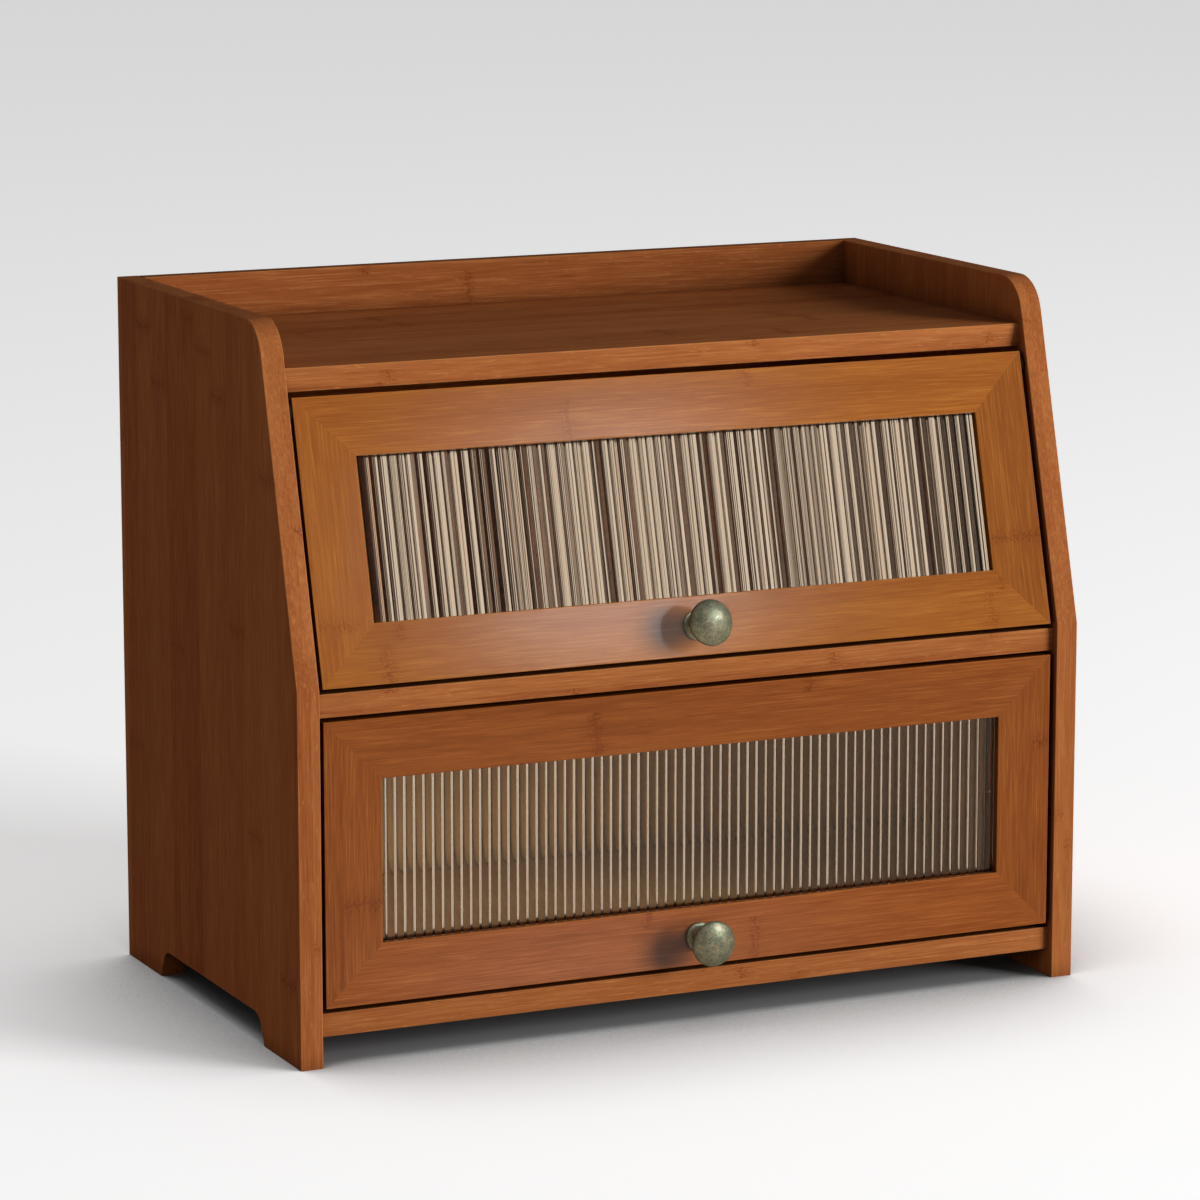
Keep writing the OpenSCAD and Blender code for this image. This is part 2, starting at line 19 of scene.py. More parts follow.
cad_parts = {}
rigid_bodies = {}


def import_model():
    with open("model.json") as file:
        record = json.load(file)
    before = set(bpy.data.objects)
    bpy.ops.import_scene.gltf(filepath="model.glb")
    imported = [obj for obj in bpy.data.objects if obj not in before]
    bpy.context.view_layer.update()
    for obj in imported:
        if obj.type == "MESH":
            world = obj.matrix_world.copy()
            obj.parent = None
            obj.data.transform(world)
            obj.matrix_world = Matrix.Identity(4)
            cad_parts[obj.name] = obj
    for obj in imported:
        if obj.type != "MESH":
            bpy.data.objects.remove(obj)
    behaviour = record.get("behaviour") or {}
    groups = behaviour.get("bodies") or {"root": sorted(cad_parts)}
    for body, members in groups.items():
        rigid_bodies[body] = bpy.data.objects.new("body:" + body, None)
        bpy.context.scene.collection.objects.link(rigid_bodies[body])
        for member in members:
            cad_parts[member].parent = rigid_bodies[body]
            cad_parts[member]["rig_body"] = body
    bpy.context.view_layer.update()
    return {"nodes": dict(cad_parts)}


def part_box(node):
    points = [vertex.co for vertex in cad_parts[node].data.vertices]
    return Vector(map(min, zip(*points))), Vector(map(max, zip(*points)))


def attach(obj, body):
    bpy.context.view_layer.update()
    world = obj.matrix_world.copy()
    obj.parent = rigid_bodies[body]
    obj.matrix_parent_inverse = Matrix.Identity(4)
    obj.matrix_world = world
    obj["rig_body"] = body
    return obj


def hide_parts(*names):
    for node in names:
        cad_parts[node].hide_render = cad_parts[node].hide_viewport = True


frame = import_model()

MM = 0.001

# %% [markdown]
# ## Camera
#
# The picture was taken from the left and from a little above, with a long lens, so upright edges
# stay nearly parallel. A long lens far away does the same here. Depth of field stays off. The two
# angles are in radians, and the lens is in millimetres.

# %% Camera
CAMERA_PLACE = (-0.9796, -2.1007, 0.6149)
LOOK_DOWN = 0.1844
LOOK_RIGHT = 0.4354
FOCAL_LENGTH = 147.5

lens = bpy.data.cameras.new("camera")
lens.lens = FOCAL_LENGTH
camera = bpy.data.objects.new("camera", lens)
camera.location = CAMERA_PLACE
camera.rotation_euler = (math.pi / 2 - LOOK_DOWN, 0, -LOOK_RIGHT)
bpy.context.collection.objects.link(camera)
bpy.context.scene.camera = camera
bpy.context.scene.view_settings.view_transform = "Standard"
print("camera", round(Vector(CAMERA_PLACE).length, 2), "m from the origin")

# %% [markdown]
# ## Small tools for shader nodes
#
# A material is a tree of nodes. Writing each node, its settings and its links out by hand takes
# pages, so a few short functions do it: `plug` joins an output or a plain value to a socket, `node`
# makes one node, and `maths`, `mix` and `ramp` are the three nodes that are needed most. Colours are
# written as a paint chart gives them, from 0 to 255, and `linear` turns them into linear light.

# %% Node tools
def linear(red, green, blue):
    """An sRGB colour of 0 to 255 as the linear colour that the shaders work in."""
    def one(level):
        share = level / 255
        return share / 12.92 if share <= 0.04045 else ((share + 0.055) / 1.055) ** 2.4
    return (one(red), one(green), one(blue), 1)


def plug(tree, value, socket):
    if isinstance(value, bpy.types.NodeSocket):
        tree.links.new(value, socket)
    else:
        socket.default_value = value


def node(tree, kind, inputs=None, **settings):
    made = tree.nodes.new("ShaderNode" + kind)
    for name, value in settings.items():
        setattr(made, name, value)
    for key, value in (inputs or {}).items():
        plug(tree, value, made.inputs[key])
    return made


def maths(tree, operation, *values):
    return node(tree, "Math", dict(enumerate(values)), operation=operation).outputs[0]


def mix(tree, factor, first, second, blend="MIX"):
    inputs = {0: factor, 6: first, 7: second}
    return node(tree, "Mix", inputs, data_type="RGBA", blend_type=blend).outputs[2]


def ramp(tree, value, low, high, out_low=0.0, out_high=1.0):
    """A smooth step: out_low below low, out_high above high."""
    inputs = {0: value, 1: low, 2: high, 3: out_low, 4: out_high}
    return node(tree, "MapRange", inputs, interpolation_type="SMOOTHSTEP").outputs[0]


# %% [markdown]
# ## Floor
#
# A plain pale floor that fills the picture, with a little light of its own so that it stays pale in
# the distance. That light must not fill the shadow under the box, so it fades with how much of the
# sky a point of the floor sees, which the Ambient Occlusion node measures. The same measure darkens
# the floor's colour close under the box, a painted shadow. Metal and glass see the floor too, a bit
# dimmer, and other rays get only the light of a dull floor.

# %% Floor
FLOOR_REACH = 20
WHITE = (1, 1, 1, 1)
ROOM_TINT = (1, 0.85, 0.67, 1)
PALE = (0.90, 0.90, 0.90, 1)        # the floor in the open, as the camera sees it
# painted shadow: the floor's colour close under the box
PAINTED_CONTACT_SHADOW = (0.25, 0.25, 0.25, 1)     # the floor close under the box
DULL = (0.22, 0.22, 0.22, 1)        # the floor as it lights the box
FLOOR_GLOW = 0.58
GLANCE = 0.55                       # share of the pale floor that metal and glass see
SKY_REACH = 0.18
HIDDEN, OPEN = 0.25, 0.95           # shares of the sky seen, under the box and beside it


def ray_kinds(tree):
    """Two masks: rays that come from the camera, and rays that a gloss or a glass sends on."""
    path = node(tree, "LightPath").outputs
    sent_on = maths(tree, "MAXIMUM", path["Is Glossy Ray"], path["Is Transmission Ray"])
    return path["Is Camera Ray"], sent_on


def new_material(name):
    material = bpy.data.materials.new(name)
    material.use_nodes = True
    material.node_tree.nodes.clear()
    return material, material.node_tree


def paper_floor():
    material, tree = new_material("paper_floor")
    from_camera, sent_on = ray_kinds(tree)
    seen = maths(tree, "MAXIMUM", from_camera, maths(tree, "MULTIPLY", sent_on, GLANCE))
    tint = mix(tree, sent_on, WHITE, ROOM_TINT)
    sky = node(tree, "AmbientOcclusion", {"Distance": SKY_REACH}, samples=8).outputs["AO"]
    open_air = ramp(tree, sky, HIDDEN, OPEN)
    # painted shadow: where the floor sees little sky its colour goes dark
    paper = mix(tree, seen, DULL, mix(tree, open_air, PAINTED_CONTACT_SHADOW, PALE))
    paper = mix(tree, 1.0, paper, tint, "MULTIPLY")
    glow = maths(tree, "MULTIPLY", open_air, FLOOR_GLOW)
    shader = node(tree, "BsdfPrincipled", {
        "Base Color": paper, "Roughness": 0.9, "Specular IOR Level": 0.0,
        "Emission Color": tint, "Emission Strength": maths(tree, "MULTIPLY", seen, glow)})
    node(tree, "OutputMaterial", {"Surface": shader.outputs[0]})
    return material


floor_mesh = bpy.data.meshes.new("floor")
floor_mesh.from_pydata(
    [(x * FLOOR_REACH, y * FLOOR_REACH, 0) for x, y in ((-1, -1), (1, -1), (1, 1), (-1, 1))],
    [], [(0, 1, 2, 3)])
floor_mesh.materials.append(paper_floor())
floor = bpy.data.objects.new("floor", floor_mesh)
bpy.context.collection.objects.link(floor)
print("floor", 2 * FLOOR_REACH, "m square")

# %% [markdown]
# ## Light
#
# The knobs throw their shadows to the left, and the right rim shades the top, so the main light is a
# large soft lamp low on the right. A weak warm one on the left keeps the side from going black, a
# faint one in front softens the shadows, and a low one behind lights the back. All four are hidden
# from gloss and glass, where they would show as burnt-out squares.

# %% Lamps
LAMP_AIM = Vector((0, 0, 0.17))     # the middle of the box


def soft_lamp(name, turn, rise, away, size, power):
    """A square lamp, turn degrees to the right of the front and rise degrees up."""
    a, e = math.radians(turn), math.radians(rise)
    towards = Vector((math.sin(a) * math.cos(e), -math.cos(a) * math.cos(e), math.sin(e)))
    light = bpy.data.lights.new(name, "AREA")
    light.size = size
    light.energy = power
    lamp = bpy.data.objects.new(name, light)
    lamp.location = LAMP_AIM + towards * away
    lamp.rotation_mode = "QUATERNION"
    lamp.rotation_quaternion = towards.to_track_quat("Z", "Y")
    lamp.visible_camera = False
    lamp.visible_glossy = False
    lamp.visible_transmission = False
    bpy.context.collection.objects.link(lamp)
    return lamp


soft_lamp("key_lamp", turn=45, rise=12, away=5, size=2.2, power=298)
side_lamp = soft_lamp("side_lamp", turn=-75, rise=3, away=2.2, size=0.4, power=4.8)
side_lamp.data.color = (1, 0.72, 0.55)
soft_lamp("fill_lamp", turn=-20, rise=25, away=3, size=2, power=8)
rear_lamp = soft_lamp("rear_lamp", turn=180, rise=4, away=2.6, size=0.5, power=22)
print("lamps:", [light.name for light in bpy.data.lights])

# %% [markdown]
# ## Lamps that leave the floor alone
#
# The lamps on the left and behind stand low, and would paint bright and warm patches on the floor.
# Light linking keeps them off it: a lamp's receiver collection names what it lights, and a link
# state of EXCLUDE turns that round, so that it lights everything but the floor.

# %% Light linking
all_but_floor = bpy.data.collections.new("all_but_floor")
all_but_floor.objects.link(floor)
all_but_floor.collection_objects[0].light_linking.link_state = "EXCLUDE"
for lamp in (rear_lamp, side_lamp):
    lamp.light_linking.receiver_collection = all_but_floor
print("floor left out by", rear_lamp.name, "and", side_lamp.name)

# %% [markdown]
# ## Highlights
#
# Three small lamps, that only the gloss answers to, give the lacquer of the two fronts and the knobs
# their soft highlights. Each has a collection of its own pieces, and the pieces join it when they
# are made. The one for the drawer stands in for the bright floor, so it is below the floor, and
# none of the three throws a shadow.

# %% Lamps for the gloss alone
def gloss_lamp(name, turn, rise, size, power):
    """A lamp that only the gloss of its own collection of pieces answers to."""
    lamp = soft_lamp(name, turn, rise, away=2.3, size=size, power=power)
    lamp.visible_glossy = True
    lamp.visible_diffuse = False
    lamp.data.use_shadow = False
    pieces = bpy.data.collections.new(name + "_pieces")
    lamp.light_linking.receiver_collection = pieces
    return pieces


flap_pieces = gloss_lamp("flap_sheen_lamp", turn=24, rise=18, size=0.2, power=4.4)
drawer_pieces = gloss_lamp("drawer_sheen_lamp", turn=23, rise=-19.5, size=0.2, power=2.4)
pewter_pieces = gloss_lamp("knob_lamp", turn=38, rise=30, size=0.8, power=24)
print("highlights for", flap_pieces.name, drawer_pieces.name, pewter_pieces.name)

# %% [markdown]
# ## The room
#
# A world shader lights the scene from all round, and can show each kind of ray its own room. The
# box gets a faint light from everywhere and some more from low behind. Gloss and glass see a pale
# room in front of the box and a dim one behind it, and the gloss sees less of it than the glass,
# because lacquer on wood is duller than a pane. The camera sees plain pale grey.

# %% World
ROOM_LIGHT = 0.07       # on the box, from everywhere
REAR_LIGHT = 0.45       # on the box, from low behind
ROOM_SEEN = 0.75        # by the camera
FRONT_SHOWN = 0.68      # to glass, in front of the box
REAR_SHOWN = 0.07       # to glass, behind the box
GLOSS_SHARE = 0.25      # share of that which gloss sees


def studio_world():
    world = bpy.data.worlds.new("studio")
    world.use_nodes = True
    bpy.context.scene.world = world
    tree = world.node_tree
    tree.nodes.clear()
    way = node(tree, "SeparateXYZ", {0: node(tree, "TexCoord").outputs["Generated"]})
    low = ramp(tree, way.outputs["Z"], 0.0, 0.45, 1.0, 0.0)
    behind = maths(tree, "MULTIPLY", ramp(tree, way.outputs["Y"], 0.1, 0.9), low)
    given = maths(tree, "ADD", ROOM_LIGHT, maths(tree, "MULTIPLY", behind, REAR_LIGHT))
    shown = ramp(tree, way.outputs["Y"], -0.5, 0.4, FRONT_SHOWN, REAR_SHOWN)
    from_camera, sent_on = ray_kinds(tree)
    through = node(tree, "LightPath").outputs["Is Transmission Ray"]
    shown = maths(tree, "MULTIPLY", shown, ramp(tree, through, 0.0, 1.0, GLOSS_SHARE, 1.0))
    level = node(tree, "Mix", {0: sent_on, 2: given, 3: shown}, data_type="FLOAT").outputs[0]
    level = node(tree, "Mix", {0: from_camera, 2: level, 3: ROOM_SEEN}, data_type="FLOAT")
    tint = mix(tree, sent_on, WHITE, ROOM_TINT)
    shader = node(tree, "Background", {"Color": tint, "Strength": level.outputs[0]})
    node(tree, "OutputWorld", {"Surface": shader.outputs[0]})


studio_world()
print("a room and", len(bpy.data.lights), "lamps")

# %% [markdown]
# ## Bamboo
#
# Bamboo boards are glued from straight strips. Each strip has its own tone, fine dark fibres that
# run its whole length, and every 20 cm or so a node, the ring where the cane had a joint. The stain
# is even, so all of this stays faint. One node group works it out from the place in the wood, with
# X along the grain, and every wooden material uses it. It puts out values only, and each material
# decides on the colours. Everything but the strips is noise, stretched out along the grain: bands,
# fibres, pores, pale flecks, and the waver and the dots of a ring.

# %% Node groups and stretched noise
# how fine each pattern is along the grain, across it and through the board
FINENESS = {
    "Bands": (3.5, 60, 60), "Fibres": (32, 1100, 1100), "Pores": (45, 1900, 1900),
    "Flecks": (170, 800, 800), "Waver": (1, 220, 220), "Dots": (600, 1300, 1300)}


def new_group(name, inputs, outputs):
    tree = bpy.data.node_groups.new(name, "ShaderNodeTree")
    for label, kind, value in inputs:
        socket = tree.interface.new_socket(label, in_out="INPUT", socket_type="NodeSocket" + kind)
        if value is not None:
            socket.default_value = value
    for label in outputs:
        tree.interface.new_socket(label, in_out="OUTPUT", socket_type="NodeSocketFloat")
    return tree, tree.nodes.new("NodeGroupInput").outputs, tree.nodes.new("NodeGroupOutput").inputs


def stretched_noise(tree, parts, pattern, detail, roughness=0.55):
    """Noise with its own fineness along X, Y and Z, so that it runs out into long fibres."""
    place = node(tree, "CombineXYZ", {
        i: maths(tree, "MULTIPLY", part, fine)
        for i, (part, fine) in enumerate(zip(parts, FINENESS[pattern]))})
    noise = node(tree, "TexNoise", {
        "Vector": place.outputs[0], "Scale": 1.0, "Detail": detail, "Roughness": roughness})
    return noise.outputs[0]


# %% Rings of the cane
WAVER = 8 * MM
LINE_W = 1.1 * MM
SPECKLE_W = 5 * MM
HALO_W = 14 * MM


def cane_rings(tree, along, parts, spacing, chance):
    """A thin dark line, with specks beside it and a faint halo, where the cane had a joint."""
    waver = stretched_noise(tree, parts, "Waver", 3.0)
    turn = maths(tree, "ADD", maths(tree, "DIVIDE", along, spacing), chance)
    off = maths(tree, "SUBTRACT", maths(tree, "FRACT", turn), 0.5)
    off = maths(tree, "MULTIPLY", off, spacing)
    off = maths(tree, "ABSOLUTE", maths(tree, "ADD", off, maths(tree, "MULTIPLY", waver, WAVER)))
    dots = ramp(tree, stretched_noise(tree, parts, "Dots", 1.0), 0.52, 0.62)
    line = maths(tree, "MULTIPLY", ramp(tree, off, 0.2 * MM, LINE_W, 1.0, 0.0), 0.45)
    speckle = maths(tree, "MULTIPLY", ramp(tree, off, 1 * MM, SPECKLE_W, 1.0, 0.0), dots)
    halo = maths(tree, "MULTIPLY", ramp(tree, off, 0.0, HALO_W, 1.0, 0.0), 0.18)
    return maths(tree, "ADD", halo, maths(tree, "MAXIMUM", line, speckle))


# %% Bamboo grain group
PIECE_STEP = 1.618


def bamboo_grain():
    tree, given, out = new_group(
        "Bamboo grain",
        [("Vector", "Vector", None), ("Piece", "Float", 0.0), ("Strip width", "Float", 0.02),
         ("Layer", "Float", 0.0055), ("Ring spacing", "Float", 0.31)],
        ["Tone", "Bands", "Fibres", "Pores", "Rings", "Flecks"])
    place = node(tree, "SeparateXYZ", {0: given["Vector"]}).outputs
    shift = maths(tree, "MULTIPLY", given["Piece"], PIECE_STEP)
    along = maths(tree, "ADD", place[0], shift)
    counts = []
    for part, size in ((place[1], given["Strip width"]), (place[2], given["Layer"])):
        step = maths(tree, "ADD", maths(tree, "DIVIDE", part, size), shift)
        counts.append(maths(tree, "FLOOR", step))
    strip = node(tree, "CombineXYZ", {0: counts[0], 1: counts[1], 2: given["Piece"]})
    chance = node(tree, "TexWhiteNoise", {"Vector": strip.outputs[0]}, noise_dimensions="3D").outputs
    chances = node(tree, "SeparateColor", {0: chance["Color"]}).outputs
    parts = (maths(tree, "ADD", along, chances[0]), place[1], place[2])

    plug(tree, chance["Value"], out["Tone"])
    plug(tree, stretched_noise(tree, parts, "Bands", 3.0), out["Bands"])
    plug(tree, stretched_noise(tree, parts, "Fibres", 3.0, 0.7), out["Fibres"])
    plug(tree, ramp(tree, stretched_noise(tree, parts, "Pores", 1.0), 0.60, 0.74), out["Pores"])
    plug(tree, ramp(tree, stretched_noise(tree, parts, "Flecks", 1.0), 0.64, 0.76), out["Flecks"])
    plug(tree, cane_rings(tree, along, parts, given["Ring spacing"], chances[1]), out["Rings"])
    return tree


GRAIN = bamboo_grain()
print("grain group:", [socket.name for socket in GRAIN.interface.items_tree])

# %% [markdown]
# ## Stained and plain bamboo
#
# The case carries a warm brown stain that is almost matt. The two fronts have the same stain under a
# satin lacquer: the upper one turned out more golden and the lower one redder. The drawer's box, the
# dowels and the stop blocks are hidden, so they are left plain, as such boxes are. The grain runs
# along X, Y or Z of a piece: the same function makes each one by putting the coordinates in another
# order. Three attributes come from the mesh: `piece`, so that no two boards share a pattern,
# `arris`, which is 1 on an eased edge, where the stain is rubbed a little thinner, and `paler`, how
# much lighter than the rest a board is made, partly its own tone and partly painted light and shade
# for how the light falls on it. A mesh without them reads as 0 in all three, and that is right for
# the dowels. Corners and gaps get painted shade: the Ambient Occlusion node finds those nooks by how
# much of the sky they see, and the colour is darkened there.

# %% Wood finishes
# wood, dark streaks and light flecks; how strong the flecks and the uneven strips are; how much
# lacquer; and the roughest and the smoothest of it
FINISHES = {
    "case": (
        linear(172, 100, 54), linear(128, 60, 26), linear(206, 142, 84), 0.28, 0.22, 0.06, 0.75, 0.60),
    "flap": (
        linear(166, 97, 35), linear(124, 60, 14), linear(198, 132, 60), 0.08, 0.12, 0.12, 0.17, 0.13),
    "drawer": (
        linear(148, 80, 33), linear(108, 48, 15), linear(182, 114, 58), 0.08, 0.12, 0.12, 0.17, 0.13),
    "plain": (
        linear(205, 166, 112), linear(176, 133, 80), linear(222, 188, 138), 0.3, 0.2, 0.10, 0.70, 0.60),
}
# painted shade in corners and gaps: the wood's colour is darkened where a point sees little sky
NOOK_REACH = 20 * MM
NOOK_SHADE = 0.2
NOOK, FACE = 0.1, 0.8       # shares of the sky seen, in a nook and on an open face
# grain, width and thickness of a board as axes
ORDERS = {"XY": (0, 1, 2), "XZ": (0, 2, 1), "YZ": (1, 2, 0), "ZX": (2, 0, 1), "ZY": (2, 1, 0)}

# %% Stained colour
def stained(tree, seen, arris, finish):
    """The grain in the colours of a finish, laid over each other as a stain soaks in."""
    colour, dark, light, flecks, uneven = FINISHES[finish][:5]
    layers = (
        (ramp(tree, seen["Bands"], 0.34, 0.66, 0.50, 0.0), dark),
        (ramp(tree, seen["Fibres"], 0.36, 0.60, 0.50, 0.0), dark),
        (ramp(tree, seen["Fibres"], 0.50, 0.74, 0.0, 0.40), light),
        (maths(tree, "MULTIPLY", seen["Tone"], uneven), light),
        (maths(tree, "MULTIPLY", seen["Pores"], 0.50), dark),
        (maths(tree, "MULTIPLY", seen["Rings"], 0.75), dark),
        (maths(tree, "MULTIPLY", seen["Flecks"], flecks), light),
        (maths(tree, "MULTIPLY", arris, 0.25), light),
    )
    for mask, tone in layers:
        colour = mix(tree, mask, colour, tone)
    return colour


def wood(finish, lie):
    """Bamboo in one of the finishes. lie is the axis of its grain, then that of its width."""
    lacquer, roughest, smoothest = FINISHES[finish][5:]
    material, tree = new_material(f"{finish}_bamboo_{lie.lower()}")
    place = node(tree, "SeparateXYZ", {0: node(tree, "TexCoord").outputs["Object"]}).outputs
    turned = node(tree, "CombineXYZ", {i: place[k] for i, k in enumerate(ORDERS[lie])})
    piece, arris, paler = (
        node(tree, "Attribute", attribute_name=name).outputs["Fac"] for name in ("piece", "arris", "paler"))
    grain = node(tree, "Group", node_tree=GRAIN)
    plug(tree, turned.outputs[0], grain.inputs["Vector"])
    plug(tree, piece, grain.inputs["Piece"])
    seen = grain.outputs

    # painted shade: nooks are darkened by the sky they see, and the board's paler value, its own tone with
    # painted light and shade in it, scales the colour too
    sky = node(tree, "AmbientOcclusion", {"Distance": NOOK_REACH}, samples=4).outputs["AO"]
    shade = ramp(tree, sky, NOOK, FACE, NOOK_SHADE, 1.0)
    shade = maths(tree, "MULTIPLY", shade, maths(tree, "ADD", paler, 1.0))
    tint = node(tree, "CombineColor", {0: shade, 1: shade, 2: shade}).outputs[0]
    colour = mix(tree, 1.0, stained(tree, seen, arris, finish), tint, "MULTIPLY")

    rough = ramp(tree, seen["Fibres"], 0.3, 0.7, roughest, smoothest)
    height = maths(tree, "SUBTRACT", seen["Fibres"], maths(tree, "MULTIPLY", seen["Pores"], 0.5))
    bump = node(tree, "Bump", {"Height": height, "Distance": 0.02 * MM, "Strength": 0.5})
    shader = node(tree, "BsdfPrincipled", {
        "Base Color": colour, "Roughness": rough, "Normal": bump.outputs[0],
        "Specular IOR Level": lacquer})
    node(tree, "OutputMaterial", {"Surface": shader.outputs[0]})
    return material


WOODS = {(finish, lie): wood(finish, lie) for finish, lie in (
    ("case", "XY"), ("case", "XZ"), ("case", "ZY"), ("flap", "XZ"), ("flap", "ZX"), ("drawer", "XZ"),
    ("drawer", "ZX"), ("plain", "XY"), ("plain", "XZ"), ("plain", "YZ"))}
print(len(WOODS), "wood finishes")

# %% [markdown]
# ## Eased boards
#
# A saw leaves an edge that cuts the hand, so each long edge is eased with a pass of sandpaper. That
# half millimetre of roundness is what catches the light along every board. A bevel modifier would
# round every edge, and open the mitres too. Here a copy of each board's mesh is welded, and only the
# edges that run along the grain are bevelled, so the mitres stay tight. A mesh is kept in the axes
# of its own front, because the flap leans and its grain leans with it.

# %% Axes of the two fronts
LEAN = math.radians(15)
BREAK_H = 173.5 * MM        # where the front starts to lean back
Y_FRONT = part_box("side_panel_right")[0].y

UPRIGHT = Matrix.Identity(4)
LEANING = Matrix.Translation((0, Y_FRONT, BREAK_H)) @ Matrix.Rotation(-LEAN, 4, "X")
print("front edge at y =", round(Y_FRONT / MM, 2), "mm")

# %% Whole faces and eased edges
EASE = 0.45 * MM
WELD = 0.002 * MM
LEAST_EDGE = 5 * MM
SHARPEST_FLAT = math.radians(0.5)
BLUNTEST_ARRIS = math.radians(30)
ALONG = 0.999
AXES = {"X": Vector((1, 0, 0)), "Y": Vector((0, 1, 0)), "Z": Vector((0, 0, 1))}


def welded(node_name, place):
    """A bmesh of a node, in the axes of place, with its flat faces made whole."""
    cad = frame["nodes"][node_name].data
    bm = bmesh.new()
    back = place.inverted()
    corners = [bm.verts.new(back @ v.co) for v in cad.vertices]
    for face in cad.polygons:
        bm.faces.new([corners[i] for i in face.vertices])
    bmesh.ops.remove_doubles(bm, verts=bm.verts, dist=WELD)
    bmesh.ops.dissolve_limit(bm, angle_limit=SHARPEST_FLAT, verts=bm.verts, edges=bm.edges)
    bm.normal_update()
    return bm


def is_arris(edge, axis):
    """A long outward edge that runs along the axis."""
    if len(edge.link_faces) != 2 or edge.calc_length() < LEAST_EDGE:
        return False
    run = (edge.verts[0].co - edge.verts[1].co).normalized()
    return abs(run.dot(axis)) > ALONG and edge.calc_face_angle_signed(0) > BLUNTEST_ARRIS


def bevel_arrises(bm, edges):
    """Rounds the edges, and marks the round faces for the stain."""
    mask = bm.faces.layers.float.new("arris")
    made = bmesh.ops.bevel(
        bm, geom=edges, offset=EASE, offset_type="OFFSET", segments=3, profile=0.5,
        affect="EDGES", clamp_overlap=True)
    for face in made["faces"]:
        face[mask] = 1


# %% From a bmesh to a piece
def to_mesh(bm, name, sharp=35):
    mesh = bpy.data.meshes.new(name)
    bm.to_mesh(mesh)
    bm.free()
    mesh.shade_smooth()
    mesh.set_sharp_from_angle(angle=math.radians(sharp))
    return mesh


def set_value(mesh, name, value):
    """The same number on the whole mesh, for a material to read."""
    attribute = mesh.attributes.new(name, "FLOAT", "POINT")
    attribute.data.foreach_set("value", [value] * len(mesh.vertices))


def add_piece(name, mesh, material, node_name, place=UPRIGHT):
    """Puts a mesh in a node's place, on that node's body."""
    mesh.materials.append(material)
    piece = bpy.data.objects.new(name, mesh)
    bpy.context.collection.objects.link(piece)
    piece.matrix_world = place
    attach(piece, frame["nodes"][node_name]["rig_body"])
    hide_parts(node_name)
    return piece


def add_board(node_name, lie, finish, seed, shade, place, bm):
    """Turns a bmesh into a finished wooden piece."""
    mesh = to_mesh(bm, node_name + "_wood")
    set_value(mesh, "piece", seed)
    # the shade goes on as paler, the board's own tone with painted light and shade in it
    set_value(mesh, "paler", shade - 1)
    board = add_piece(node_name + "_wood", mesh, WOODS[finish, lie], node_name, place)
    flatten = board.modifiers.new("flat_faces", "WEIGHTED_NORMAL")
    flatten.keep_sharp = True
    return board


# %% [markdown]
# ## Boards, frames, beads and the drawer's box
#
# Every wooden piece but the side panels is made by one loop over a table. Each board, rail and
# stile has a shade of its own, a few hundredths or more from 1. Part of it is a tone of its own, as
# boards from different canes have, and part is painted light and shade for how the light falls: the
# top board is lighter, the bottom board, the back panel and the flap's right stile darker, and the
# drawer's bottom rail lighter with a painted sheen.

# %% Wooden pieces
# name: grain and width, finish, slot, shade (own tone with painted light and shade), axes
BOARDS = {
    "top_board": ("XY", "case", "dark_wood", 1.06, UPRIGHT),
    "middle_shelf": ("XY", "case", "dark_wood", 0.96, UPRIGHT),
    "bottom_board": ("XY", "case", "dark_wood", 0.92, UPRIGHT),
    "back_panel": ("XZ", "case", "dark_wood", 0.76, UPRIGHT),
    "drawer_side_left": ("YZ", "plain", "plain_wood", 1.0, UPRIGHT),
    "drawer_side_right": ("YZ", "plain", "plain_wood", 1.0, UPRIGHT),
    "drawer_back": ("XZ", "plain", "plain_wood", 1.0, UPRIGHT),
    "drawer_bottom": ("XY", "plain", "plain_wood", 1.0, UPRIGHT),
    "flap_stop_left": ("XZ", "plain", "plain_wood", 1.0, UPRIGHT),
    "flap_stop_right": ("XZ", "plain", "plain_wood", 1.0, UPRIGHT),
}
# part of a front: grain and width, shade on the flap, shade on the drawer (own tone and painted light)
FRAME_PARTS = {
    "top_rail": ("XZ", 1.05, 0.97), "bottom_rail": ("XZ", 0.98, 1.13),
    "left_stile": ("ZX", 1.04, 0.96), "right_stile": ("ZX", 0.86, 0.92),
    "bead_top": ("XZ", 1.0, 1.0), "bead_bottom": ("XZ", 1.0, 1.0),
    "bead_left": ("ZX", 1.0, 1.0), "bead_right": ("ZX", 1.0, 1.0),
}
for part, (lie, flap_shade, drawer_shade) in FRAME_PARTS.items():
    BOARDS[f"flap_{part}"] = (lie, "flap", "warm_wood", flap_shade, LEANING)
    BOARDS[f"drawer_{part}"] = (lie, "drawer", "warm_wood", drawer_shade, UPRIGHT)

for seed, (name, (lie, finish, slot, shade, place)) in enumerate(BOARDS.items(), start=1):
    bm = welded(name, place)
    arrises = [edge for edge in bm.edges if is_arris(edge, AXES[lie[0]])]
    bevel_arrises(bm, arrises)
    board = add_board(name, lie, finish, seed, shade, place, bm)
    if "rail" in name or "stile" in name:
        (flap_pieces if finish == "flap" else drawer_pieces).objects.link(board)
    print(name, len(arrises), "edges eased,", len(board.data.polygons), "faces")

# %% [markdown]
# ## Side panels
#
# Each side is one board, sawn to an outline with a leaning front edge, a round corner and a cut-out
# between its feet. Its grain runs up. The whole outline is eased, round the arcs as well, and not
# only along the grain. Those are the edges of the faces that go right through the board, which
# leaves out the rims of the blind holes for the dowels and the bush.

